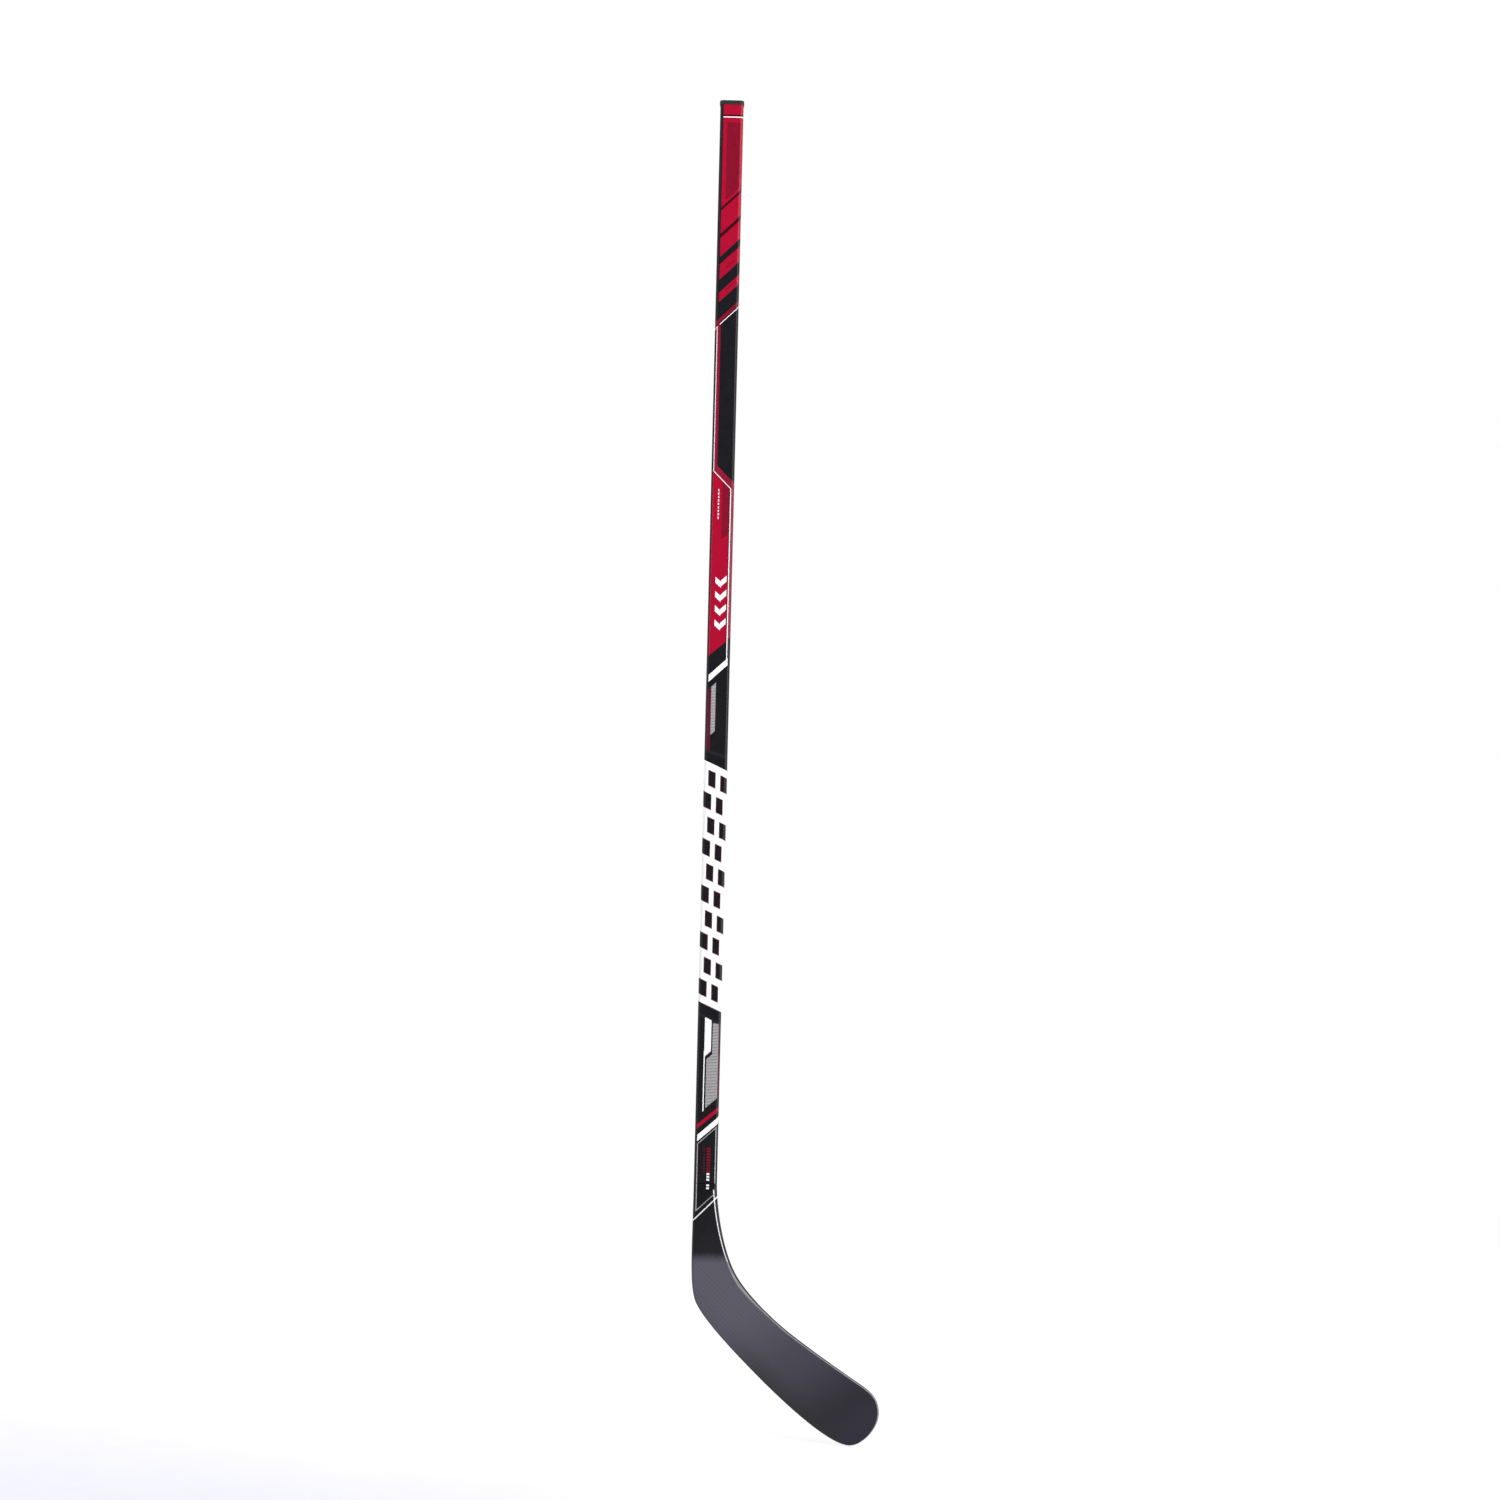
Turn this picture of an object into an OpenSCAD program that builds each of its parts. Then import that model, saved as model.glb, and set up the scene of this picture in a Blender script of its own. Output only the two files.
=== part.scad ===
// Senior ice hockey stick for a left-handed player, with a curved composite blade.
// Frame: the origin is on the shaft's centre line, level with the heel. +Z runs up the shaft to
// the butt end, +X points towards the toe, and the playing face looks towards -Y. Millimetres.

/* [Shaft] */
// Butt end above the heel
shaft_len = 1524; // [1300:1:1600]
// Wide side
shaft_w = 29.4; // [28:0.1:31]
// Narrow side
shaft_t = 19.5; // [18.5:0.1:21]
// Corner radius
shaft_r = 4.5; // [4:0.1:6]
// Laminate wall of the shaft and of the hosel
wall = 2; // [1.6:0.1:2.2]
// Joint between shaft and blade above the heel
joint_z = 152; // [140:1:180]
// Length of tenon glued into the shaft
tenon_up = 55; // [40:1:80]
// Thickness of the printed film
film = 0.1; // [0.08:0.01:0.2]

/* [Butt end] */
// Height of the cap
cap_h = 5.5; // [4:0.5:8]
// Overhang of the cap beyond the shaft
cap_rim = 0.8; // [0.5:0.1:1.5]
// Length of the insert inside the shaft
insert_len = 45; // [30:1:60]

/* [Blade] */
// Length from heel to toe
blade_len = 260; // [230:1:290]
// Height at the middle
blade_h = 67; // [60:1:75]
// Angle between shaft and sole
lie = 133.7; // [131:0.1:137]
// Thickness at the heel
heel_t = 9; // [8:0.1:11]
// Thickness at the toe
toe_t = 5.2; // [4.8:0.1:6.5]
// How far the toe is bent out of the heel's plane
curve_depth = 14; // [6:1:20]
// Where the curve starts, as a share of the blade's length
curve_start = 0.3; // [0.2:0.05:0.6]
// Radius along the blade's edges
edge_r = 2; // [1.6:0.1:2.2]
// Thickness of the face laminate
skin = 1.2; // [1:0.1:1.4]
// Width of the rib between the two cores
rib_w = 5; // [4:0.5:8]

/* [Hidden] */

round_fn = 64;           // facets of a full circle
seam = 0.05;             // gap between bonded solid pieces
soft = 0.2;              // gap around the foam pieces
min_r = 0.5;             // smallest inside corner radius
filler_h = 1;            // height of the filled seam at the joint
tube_w = shaft_w - 2 * film;
tube_t = shaft_t - 2 * film;
bore_w = tube_w - 2 * wall;
bore_t = tube_t - 2 * wall;
bore_r = shaft_r - film - wall;
cap_z = shaft_len - cap_h;
cap_round = 1.6;         // roundover of the cap's top edge
cap_r = shaft_r + cap_rim;
insert_wall = 1.6;
insert_gap = 0.4;        // between the insert and the shaft's wall
insert_root = 1;         // how far the insert runs up into the cap
grip_rings = 3;
ring_h = 3;
glue_t = 0.4;            // glue layer around the tenon
glue_short = 2;          // the glue ends this far below the tenon's top
tenon_down = 16;         // length of tenon inside the hosel
tenon_wall = 1.6;
film_end = filler_h + 2 * seam;  // the film stops just above the joint
film_split = 0.3;        // half the slit between the two films
film_gap = 0.01;         // between the film and the tube

sole_a = 90 - lie;       // direction of the sole in the XZ plane
unit = blade_len / 260;  // handle lengths follow the blade's length
rise = blade_h / 67;     // heights above the sole follow the blade's height
base_v = -16.4;          // level of the sole below the origin, in the blade's own axes

// A point given along the sole (u) and above it (v), as [x, z]
function on_blade(u, v) =
    let (a = u * unit, b = base_v + v * rise)
    [a * cos(sole_a) - b * sin(sole_a), a * sin(sole_a) + b * cos(sole_a)];

// Rail knots: [x, z], tangent direction, handle before, handle after
SOLE = [
    [[-shaft_w / 2, joint_z], -90, 0, 0.56 * joint_z],
    [on_blade(-9, 11.9), sole_a - 27, 24, 24],
    [on_blade(118.4, 0), sole_a, 36, 44],
    [on_blade(257.1, 21.5), sole_a + 42.6, 26.8, 16.8],
    [on_blade(256.8, 75.6), sole_a + 131.2, 17.7, 0]];
TOP = [
    [[shaft_w / 2, joint_z], -90, 0, 0.19 * joint_z],
    [on_blade(9.1, 69.9), sole_a - 13.7, 37, 30.2],
    [on_blade(106.2, 67), sole_a + 6.9, 25.7, 30.6],
    [on_blade(212, 85.2), sole_a + 11.7, 32.5, 18],
    [on_blade(256.8, 75.6), sole_a - 48.8, 20.1, 0]];

s_first = 0.002;         // rail position where the blade starts, just below the joint
s_last = 3.97;           // rail position where the blade ends, just short of the tip
s_heel_from = 0.32;      // start of the heel core, below the tenon
s_heel = 1.3;            // end of the heel core
s_heel_gap = 0.02;       // between the heel core and the blade cores
s_core = 3.36;           // end of the blade cores
s_closed = 3.5;          // from here to the tip the laminate is solid
closed_early = 0.3;      // share of the stretch before it in which the hollow is already closed
taper_from = 0.05;       // rail positions over which the hosel thins out
taper_to = 1.25;

function mix(a, b, f) = a + (b - a) * f;
function clamp01(f) = max(0, min(1, f));
function ease(f) = let (c = clamp01(f)) c * c * (3 - 2 * c);
function heading(a, l) = l * unit * [cos(a), sin(a)];

// Cubic curve between two knots
function between(k0, k1, f) =
    let (p0 = k0[0], p3 = k1[0], p1 = p0 + heading(k0[1], k0[3]), p2 = p3 - heading(k1[1], k1[2]), g = 1 - f)
    g * g * g * p0 + 3 * g * g * f * p1 + 3 * g * f * f * p2 + f * f * f * p3;
function rail(knots, s) = let (i = min(floor(s), len(knots) - 2)) between(knots[i], knots[i + 1], s - i);

// Hosel to blade: 0 at the joint, 1 where the blade proper starts
function thinned(s) = ease((s - taper_from) / (taper_to - taper_from));
// The blade thins out evenly from rail position 1, at the heel, to 4, at the tip
function thick(s) = mix(shaft_t, mix(heel_t, toe_t, clamp01((s - 1) / 3)), thinned(s));
function corner(s) = mix(shaft_r, edge_r, thinned(s));
function laminate(s) = mix(wall, skin, thinned(s));

// Sideways bend of the blade at [x, z]
function bend(p) =
    let (u = (p[0] * cos(sole_a) + p[1] * sin(sole_a)) / blade_len,
         f = max(0, (u - curve_start) / (1 - curve_start)))
    -curve_depth * f * f;

// Points [distance from the sole edge, half thickness] from i0 to i1, with rounded or square ends
arc_step = 22.5;         // degrees between points of an edge radius
function profile(i0, i1, h, r, round0, round1) = concat(
    round0 ? [for (a = [0 : arc_step : 90]) [i0 + r * (1 - cos(a)), h - r * (1 - sin(a))]] : [[i0, h]],
    [for (f = [0.25 : 0.25 : 0.75]) [mix(i0 + r, i1 - r, f), h]],
    round1 ? [for (a = [90 : -arc_step : 0]) [i1 - r * (1 - cos(a)), h - r * (1 - sin(a))]] : [[i1, h]]);

// Profile points placed in space at rail position s, on the side given by the sign
function placed(s, points, side) =
    let (a = rail(SOLE, s), b = rail(TOP, s), w = norm(b - a))
    [for (q = points) let (p = mix(a, b, q[0] / w)) [p[0], bend(p) + side * q[1], p[1]]];
function width(s) = norm(rail(TOP, s) - rail(SOLE, s));

// Outer and inner surface of the laminate on one side
function outer_row(s, side) =
    let (w = width(s))
    placed(s, concat([[0, seam]], profile(0, w, thick(s) / 2, corner(s), true, true), [[w, seam]]), side);
function inner_row(s, side) =
    let (w = width(s), c = laminate(s), h = thick(s) / 2 - c, r = max(corner(s) - c, min_r),
         open = clamp01((s_closed - s) / (s_closed - s_core) - closed_early),
         raw = concat([[c, seam]], profile(c, w - c, h, r, true, true), [[w - c, seam]]))
    placed(s, [for (q = raw) [q[0], max(seam, q[1] * open)]], side);

// One side of a foam core or rib between distances i0 and i1 from the sole edge
function core_row(s, i0, i1, round0, round1, side) =
    let (c = laminate(s) + soft, h = thick(s) / 2 - c, r = max(corner(s) - c, min_r))
    placed(s, profile(i0, i1, h, min(r, h - seam), round0, round1), side);

// Closed solid between two grids of points, the first on the -Y side
module slab(front, back) {
    rows = len(front);
    cols = len(front[0]);
    size = rows * cols;
    points = concat([for (row = front) for (p = row) p], [for (row = back) for (p = row) p]);
    grid = [for (i = [0 : rows - 2]) for (k = [0 : cols - 2]) let (q = i * cols + k)
        each [[q, q + cols, q + 1], [q + 1, q + cols, q + cols + 1]]];
    rim = concat(
        [for (k = [0 : cols - 1]) k],
        [for (i = [1 : rows - 1]) i * cols + cols - 1],
        [for (k = [cols - 2 : -1 : 0]) (rows - 1) * cols + k],
        [for (i = [rows - 2 : -1 : 1]) i * cols]);
    ends = len(rim);
    walls = [for (i = [0 : ends - 1]) let (p = rim[i], q = rim[(i + 1) % ends])
        each [[p, q, p + size], [q, q + size, p + size]]];
    far = [for (f = grid) [f[0] + size, f[2] + size, f[1] + size]];
    polyhedron(points, concat(grid, far, walls));
}

skin_rows = 64;          // rows of points along each face laminate
core_rows = 36;          // rows along each core
function steps(s0, s1, n) = [for (i = [0 : n]) mix(s0, s1, i / n)];

module rounded_rect(w, t, r) {
    square([w - 2 * r, t], center = true);
    square([w, t - 2 * r], center = true);
    for (x = [-1, 1]) {
        for (y = [-1, 1]) {
            translate([x * (w / 2 - r), y * (t / 2 - r)]) circle(r, $fn = round_fn);
        }
    }
}

module frame_2d(w, t, r, thickness) {
    difference() {
        rounded_rect(w, t, r);
        rounded_rect(w - 2 * thickness, t - 2 * thickness, max(r - thickness, min_r));
    }
}

// Quarter round along the top edge of a rounded rectangle
module top_roundover(w, t, r, e) {
    for (x = [-1, 1]) {
        translate([x * (w / 2 - e), 0, 0]) rotate([90, 0, 0])
            cylinder(r = e, h = t - 2 * r, center = true, $fn = round_fn);
        for (y = [-1, 1]) {
            translate([x * (w / 2 - r), y * (t / 2 - r), 0]) rotate_extrude($fn = round_fn) intersection() {
                translate([r - e, 0]) circle(e, $fn = round_fn);
                translate([0, -e]) square([r, 2 * e]);
            }
        }
    }
    for (y = [-1, 1]) {
        translate([0, y * (t / 2 - e), 0]) rotate([0, 90, 0])
            cylinder(r = e, h = w - 2 * r, center = true, $fn = round_fn);
    }
}

module butt_plug() {
    w = tube_w + 2 * cap_rim;
    t = tube_t + 2 * cap_rim;
    insert_w = bore_w - 2 * insert_gap;
    insert_t = bore_t - 2 * insert_gap;
    insert_r = bore_r - insert_gap;
    color([0.2, 0.2, 0.22]) {
        translate([0, 0, cap_z + seam]) {
            linear_extrude(cap_h - cap_round - seam) rounded_rect(w, t, cap_r);
            linear_extrude(cap_h - seam)
                rounded_rect(w - 2 * cap_round, t - 2 * cap_round, cap_r - cap_round);
            translate([0, 0, cap_h - cap_round - seam]) top_roundover(w, t, cap_r, cap_round);
        }
        translate([0, 0, cap_z - insert_len])
            linear_extrude(insert_len + insert_root) frame_2d(insert_w, insert_t, insert_r, insert_wall);
        for (i = [1 : grip_rings]) {
            translate([0, 0, cap_z - i * insert_len / (grip_rings + 1)])
                linear_extrude(ring_h)
                    frame_2d(bore_w - 2 * seam, bore_t - 2 * seam, bore_r - seam,
                             insert_gap + insert_wall - seam);
        }
    }
}

module shaft_tube() {
    color([0.1, 0.1, 0.11])
        translate([0, 0, joint_z + filler_h])
            linear_extrude(cap_z - joint_z - filler_h) frame_2d(tube_w, tube_t, shaft_r - film, wall);
}

// Printed film over one wide face and half of each narrow side
module decal(side) {
    translate([0, 0, joint_z + film_end])
        linear_extrude(cap_z - joint_z - film_end - seam)
            intersection() {
                difference() {
                    rounded_rect(shaft_w, shaft_t, shaft_r);
                    rounded_rect(tube_w + 2 * film_gap, tube_t + 2 * film_gap, shaft_r - film + film_gap);
                }
                translate([-shaft_w, side > 0 ? film_split : -shaft_t])
                    square([2 * shaft_w, shaft_t - film_split]);
            }
}

module decal_front() {
    color([0.75, 0.05, 0.2]) decal(-1);
}

module decal_back() {
    color([0.7, 0.05, 0.18]) decal(1);
}

module joint_filler() {
    color([0.15, 0.15, 0.16])
        translate([0, 0, joint_z + seam])
            linear_extrude(filler_h - 2 * seam) frame_2d(shaft_w, shaft_t, shaft_r, wall);
}

module tenon_laminate() {
    color([0.14, 0.14, 0.15])
        translate([0, 0, joint_z - tenon_down])
            linear_extrude(tenon_down + tenon_up)
                frame_2d(bore_w - 2 * glue_t, bore_t - 2 * glue_t, bore_r - glue_t, tenon_wall);
}

module tenon_core() {
    inset = 2 * (glue_t + tenon_wall + soft);
    color([0.85, 0.82, 0.7])
        translate([0, 0, joint_z - tenon_down + soft])
            linear_extrude(tenon_down + tenon_up - 2 * soft)
                square([bore_w - inset, bore_t - inset], center = true);
}

module tenon_adhesive() {
    color([0.75, 0.7, 0.5])
        translate([0, 0, joint_z + filler_h + seam])
            linear_extrude(tenon_up - filler_h - glue_short)
                frame_2d(bore_w - 2 * seam, bore_t - 2 * seam, bore_r - seam, glue_t - 2 * seam);
}

module heel_core() {
    rows = steps(s_heel_from, s_heel, core_rows);
    color([0.8, 0.78, 0.68]) slab([for (s = rows) whole_core(s, -1)], [for (s = rows) whole_core(s, 1)]);
}
function whole_core(s, side) =
    let (c = laminate(s) + soft) core_row(s, c, width(s) - c, true, true, side);

// Foam on one side of the rib: lower is next to the sole
module blade_core(lower) {
    rows = steps(s_heel + s_heel_gap, s_core, core_rows);
    slab([for (s = rows) half_core(s, lower, -1)], [for (s = rows) half_core(s, lower, 1)]);
}
function half_core(s, lower, side) =
    let (c = laminate(s) + soft, w = width(s), gap = rib_w / 2 + soft)
    lower ? core_row(s, c, w / 2 - gap, true, false, side)
          : core_row(s, w / 2 + gap, w - c, false, true, side);

module blade_core_lower() {
    color([0.88, 0.85, 0.72]) blade_core(true);
}

module blade_core_upper() {
    color([0.84, 0.8, 0.66]) blade_core(false);
}

module blade_rib() {
    rows = steps(s_heel + s_heel_gap, s_core, core_rows);
    color([0.12, 0.12, 0.13])
        slab([for (s = rows) rib_row(s, -1)], [for (s = rows) rib_row(s, 1)]);
}
function rib_row(s, side) =
    core_row(s, (width(s) - rib_w) / 2, (width(s) + rib_w) / 2, false, false, side);

module blade_skin_front() {
    rows = steps(s_first, s_last, skin_rows);
    color([0.16, 0.16, 0.18]) slab([for (s = rows) outer_row(s, -1)], [for (s = rows) inner_row(s, -1)]);
}

module blade_skin_back() {
    rows = steps(s_first, s_last, skin_rows);
    color([0.14, 0.14, 0.16]) slab([for (s = rows) inner_row(s, 1)], [for (s = rows) outer_row(s, 1)]);
}

butt_plug();
shaft_tube();
decal_front();
decal_back();
joint_filler();
tenon_laminate();
tenon_core();
tenon_adhesive();
heel_core();
blade_core_lower();
blade_core_upper();
blade_rib();
blade_skin_front();
blade_skin_back();
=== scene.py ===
import math

import bmesh
import bpy
from mathutils import Matrix, Vector


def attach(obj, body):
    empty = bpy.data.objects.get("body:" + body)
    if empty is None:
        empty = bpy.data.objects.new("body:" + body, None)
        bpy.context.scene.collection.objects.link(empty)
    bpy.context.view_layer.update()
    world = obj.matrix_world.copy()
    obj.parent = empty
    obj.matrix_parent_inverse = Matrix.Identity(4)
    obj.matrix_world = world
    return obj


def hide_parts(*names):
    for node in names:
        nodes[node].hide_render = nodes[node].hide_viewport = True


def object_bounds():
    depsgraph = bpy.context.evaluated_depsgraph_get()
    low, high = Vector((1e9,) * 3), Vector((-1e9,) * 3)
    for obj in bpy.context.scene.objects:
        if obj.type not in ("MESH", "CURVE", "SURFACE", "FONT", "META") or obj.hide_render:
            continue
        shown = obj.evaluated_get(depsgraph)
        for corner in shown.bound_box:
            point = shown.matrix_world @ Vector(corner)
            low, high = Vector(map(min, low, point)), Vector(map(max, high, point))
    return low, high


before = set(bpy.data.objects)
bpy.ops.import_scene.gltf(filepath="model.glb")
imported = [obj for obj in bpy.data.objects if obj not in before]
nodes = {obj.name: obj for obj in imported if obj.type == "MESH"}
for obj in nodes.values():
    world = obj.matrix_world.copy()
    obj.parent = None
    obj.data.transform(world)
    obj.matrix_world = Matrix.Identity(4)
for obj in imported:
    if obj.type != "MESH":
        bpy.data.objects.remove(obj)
cad_low, cad_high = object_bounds()
MM = 0.001

# Driving sizes in millimetres, the same as the CAD's. Angles are in degrees.
SHAFT_W = 29.4
SHAFT_T = 19.5
SHAFT_R = 4.5
SHAFT_TOP = 1518.5
BUTT_Z = 1524.0
FILM = 0.1
FILM_SPLIT = 0.3         # half the slit between the two films
WALL = 2.0
JOINT_Z = 152.0
JOINT_H = 1.0
SEAM = 0.05
CAP_RIM = 0.8            # overhang of the cap beyond the tube
CAP_ROUND = 1.6          # roundover of its top edge
INSERT_LEN = 45.0
INSERT_WALL = 1.6
INSERT_GAP = 0.4         # between the insert and the tube
GRIP_RINGS = 3
RING_H = 3.1             # height of a grip ring with its chamfers
BLADE_LEN = 260.0
LIE = 133.7
HEEL_T = 9.0
TOE_T = 5.2
CURVE_DEPTH = 14.0
CURVE_START = 0.3
EDGE_R = 2.0
MIN_R = 0.5              # smallest inside corner radius
SKIN = 1.2


def mix(a, b, f):
    return a + (b - a) * f


def clamp01(f):
    return max(0.0, min(1.0, f))


def ease(f):
    c = clamp01(f)
    return c * c * (3 - 2 * c)


# ---------------------------------------------------------------- materials

class Nodes:
    """Small wrapper that adds shader nodes to a material or a world and wires them up."""

    def __init__(self, owner, coordinates="Object"):
        self.owner = owner
        owner.use_nodes = True
        self.tree = owner.node_tree
        self.bsdf = self.tree.nodes.get("Principled BSDF")
        self.place = self.add("ShaderNodeTexCoord").outputs[coordinates]

    def add(self, kind, **settings):
        node = self.tree.nodes.new(kind)
        for key, value in settings.items():
            setattr(node, key, value)
        return node

    def feed(self, socket, value):
        if isinstance(value, bpy.types.NodeSocket):
            self.tree.links.new(value, socket)
        else:
            socket.default_value = value

    def math(self, operation, a, b=0.0, c=0.0):
        node = self.add("ShaderNodeMath", operation=operation)
        for socket, value in zip(node.inputs, (a, b, c)):
            self.feed(socket, value)
        return node.outputs[0]

    def stretch(self, x, y, z):
        node = self.add("ShaderNodeVectorMath", operation="MULTIPLY")
        self.feed(node.inputs[0], self.place)
        node.inputs[1].default_value = (x, y, z)
        return node.outputs[0]

    def axes(self):
        node = self.add("ShaderNodeSeparateXYZ")
        self.feed(node.inputs[0], self.place)
        return node.outputs

    def noise(self, size_mm, detail=3.0, rough=0.55, vector=None):
        node = self.add("ShaderNodeTexNoise")
        self.feed(node.inputs["Vector"], vector or self.place)
        node.inputs["Scale"].default_value = 1.0 / (size_mm * MM)
        node.inputs["Detail"].default_value = detail
        node.inputs["Roughness"].default_value = rough
        return node.outputs["Fac"]

    def span(self, value, low, high, from_low=0.3, from_high=0.7):
        node = self.add("ShaderNodeMapRange", interpolation_type="SMOOTHSTEP")
        self.feed(node.inputs["Value"], value)
        node.inputs["From Min"].default_value = from_low
        node.inputs["From Max"].default_value = from_high
        node.inputs["To Min"].default_value = low
        node.inputs["To Max"].default_value = high
        return node.outputs["Result"]

    def blend(self, factor, a, b):
        node = self.add("ShaderNodeMix", data_type="RGBA")
        self.feed(node.inputs["Factor"], factor)
        self.feed(node.inputs["A"], a if isinstance(a, bpy.types.NodeSocket) else (*a, 1.0))
        self.feed(node.inputs["B"], b if isinstance(b, bpy.types.NodeSocket) else (*b, 1.0))
        return node.outputs["Result"]

    def bump(self, height, depth_mm, strength=1.0, under=None):
        node = self.add("ShaderNodeBump")
        self.feed(node.inputs["Height"], height)
        node.inputs["Distance"].default_value = depth_mm * MM
        node.inputs["Strength"].default_value = strength
        if under:
            self.feed(node.inputs["Normal"], under)
        return node.outputs["Normal"]

    def weave(self, tow_mm):
        """Twill: 1 where the tow runs up, 0 where it runs across, on the XZ plane."""
        x, _, z = self.axes()
        step = tow_mm * MM
        column = self.math("FLOOR", self.math("DIVIDE", x, step))
        row = self.math("FLOOR", self.math("DIVIDE", z, step))
        turn = self.math("WRAP", self.math("ADD", column, row), 4.0, 0.0)
        return self.math("LESS_THAN", turn, 1.5)

    def finish(self, color, rough, normal=None, coat=0.0, coat_rough=0.1, **extra):
        self.feed(self.bsdf.inputs["Base Color"], color)
        self.feed(self.bsdf.inputs["Roughness"], rough)
        self.bsdf.inputs["Coat Weight"].default_value = coat
        self.bsdf.inputs["Coat Roughness"].default_value = coat_rough
        if normal:
            self.feed(self.bsdf.inputs["Normal"], normal)
        for key, value in extra.items():
            self.feed(self.bsdf.inputs[key.replace("_", " ")], value)
        return self.owner


def new_material(name):
    return Nodes(bpy.data.materials.new(name))


def darker(color, share):
    return tuple(c * share for c in color)


FILM_COAT = 0.25
FILM_COAT_ROUGH = 0.15


def ink(name, color, spread=0.12, rough=0.3):
    """Printed film under a clear coat: slight mottle, hairline scratches, faint orange peel."""
    n = new_material(name)
    mottle = n.noise(9, 4)
    grain = n.noise(0.35, 2)
    tone = n.blend(n.span(mottle, 0, 1), darker(color, 1 - spread), darker(color, 1 + spread))
    tone = n.blend(n.span(grain, 0, 0.2, 0.45, 0.75), tone, darker(color, 1 - 2 * spread))
    hairs = n.noise(0.5, 2, 0.5, n.stretch(1, 1, 0.02))
    worn = n.math("ADD", n.span(mottle, rough * 0.9, rough * 1.1), n.span(hairs, 0, 0.03, 0.55, 0.75))
    peel = n.bump(n.noise(6, 2), 0.004, 0.3)
    return n.finish(tone, worn, peel, coat=FILM_COAT, coat_rough=FILM_COAT_ROUGH)


def halftone(name, ground, dots):
    """Rows of fine printed dots, staggered from row to row."""
    n = new_material(name)
    x, _, z = n.axes()
    pitch_x = 1.9 * MM
    pitch_z = 3.8 * MM
    row = n.math("DIVIDE", z, pitch_z)
    shift = n.math("MULTIPLY", n.math("FLOOR", n.math("MULTIPLY", row, 2.0)), 0.5)
    column = n.math("ADD", n.math("DIVIDE", x, pitch_x), shift)
    across = n.math("SINE", n.math("MULTIPLY", column, math.tau))
    down = n.math("SINE", n.math("MULTIPLY", row, 2 * math.tau))
    dot = n.math("ADD", n.math("MULTIPLY", across, 0.8), down)
    tone = n.blend(n.span(dot, 0, 1, -0.5, 0.6), ground, dots)
    tone = n.blend(n.span(n.noise(6, 3), 0, 0.15), tone, darker(dots, 0.6))
    rough = n.span(n.noise(4, 3), 0.3, 0.42)
    return n.finish(tone, rough, n.bump(dot, 0.002, 0.2), coat=FILM_COAT, coat_rough=FILM_COAT_ROUGH)


def carbon(name, color, tow=2.0, rough=0.32, coat=0.5):
    """Woven carbon laminate: twill tows whose two directions catch the light differently."""
    n = new_material(name)
    tow_way = n.weave(tow)
    fibre_a = n.noise(0.25, 2, 0.5, n.stretch(1, 1, 0.1))
    fibre_b = n.noise(0.25, 2, 0.5, n.stretch(0.1, 1, 1))
    fibre = n.math("ADD", n.math("MULTIPLY", fibre_a, tow_way),
                   n.math("MULTIPLY", fibre_b, n.math("SUBTRACT", 1.0, tow_way)))
    tone = n.blend(tow_way, darker(color, 0.7), darker(color, 1.5))
    tone = n.blend(n.span(fibre, 0, 0.5), tone, darker(color, 2.2))
    normal = n.bump(fibre, 0.03, 0.3, n.bump(tow_way, 0.05, 0.3))
    return n.finish(tone, n.span(fibre, rough * 0.8, rough * 1.3), normal, coat=coat, coat_rough=0.08)


def foam(name, color, cell=0.9):
    """Closed-cell foam: rounded pits, darker between the cells."""
    n = new_material(name)
    cells = n.add("ShaderNodeTexVoronoi")
    n.feed(cells.inputs["Vector"], n.place)
    cells.inputs["Scale"].default_value = 1.0 / (cell * MM)
    pits = cells.outputs["Distance"]
    tone = n.blend(n.span(pits, 0, 1, 0.1, 0.7), color, darker(color, 0.62))
    tone = n.blend(n.span(n.noise(14, 3), 0, 0.5), tone, darker(color, 0.82))
    return n.finish(tone, n.span(n.noise(3, 3), 0.75, 0.95), n.bump(pits, 0.25, 0.8))


def epoxy(name, color):
    """Cured resin: cloudy, with small trapped bubbles."""
    n = new_material(name)
    cloud = n.noise(5, 4)
    bubbles = n.noise(0.5, 1)
    tone = n.blend(n.span(cloud, 0, 1), darker(color, 0.7), color)
    tone = n.blend(n.span(bubbles, 0, 0.6, 0.62, 0.7), tone, darker(color, 1.4))
    return n.finish(tone, n.span(cloud, 0.18, 0.4), n.bump(bubbles, 0.08, 0.5), coat=0.2)


def moulded(name, color):
    """Moulded plastic: spark-eroded grain, rubbed smoother and paler in patches."""
    n = new_material(name)
    grain = n.noise(0.28, 3, 0.6)
    rub = n.noise(7, 4, 0.6)
    tone = n.blend(n.span(rub, 0, 1, 0.5, 0.72), color, darker(color, 1.7))
    tone = n.blend(n.span(grain, 0, 0.5), tone, darker(color, 0.6))
    return n.finish(tone, n.span(rub, 0.55, 0.34), n.bump(grain, 0.05, 0.5))


SHEEN_FADE_A = -55.2           # direction in which the painted reflection on the grey coat fades to dark, in the XZ plane


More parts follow.
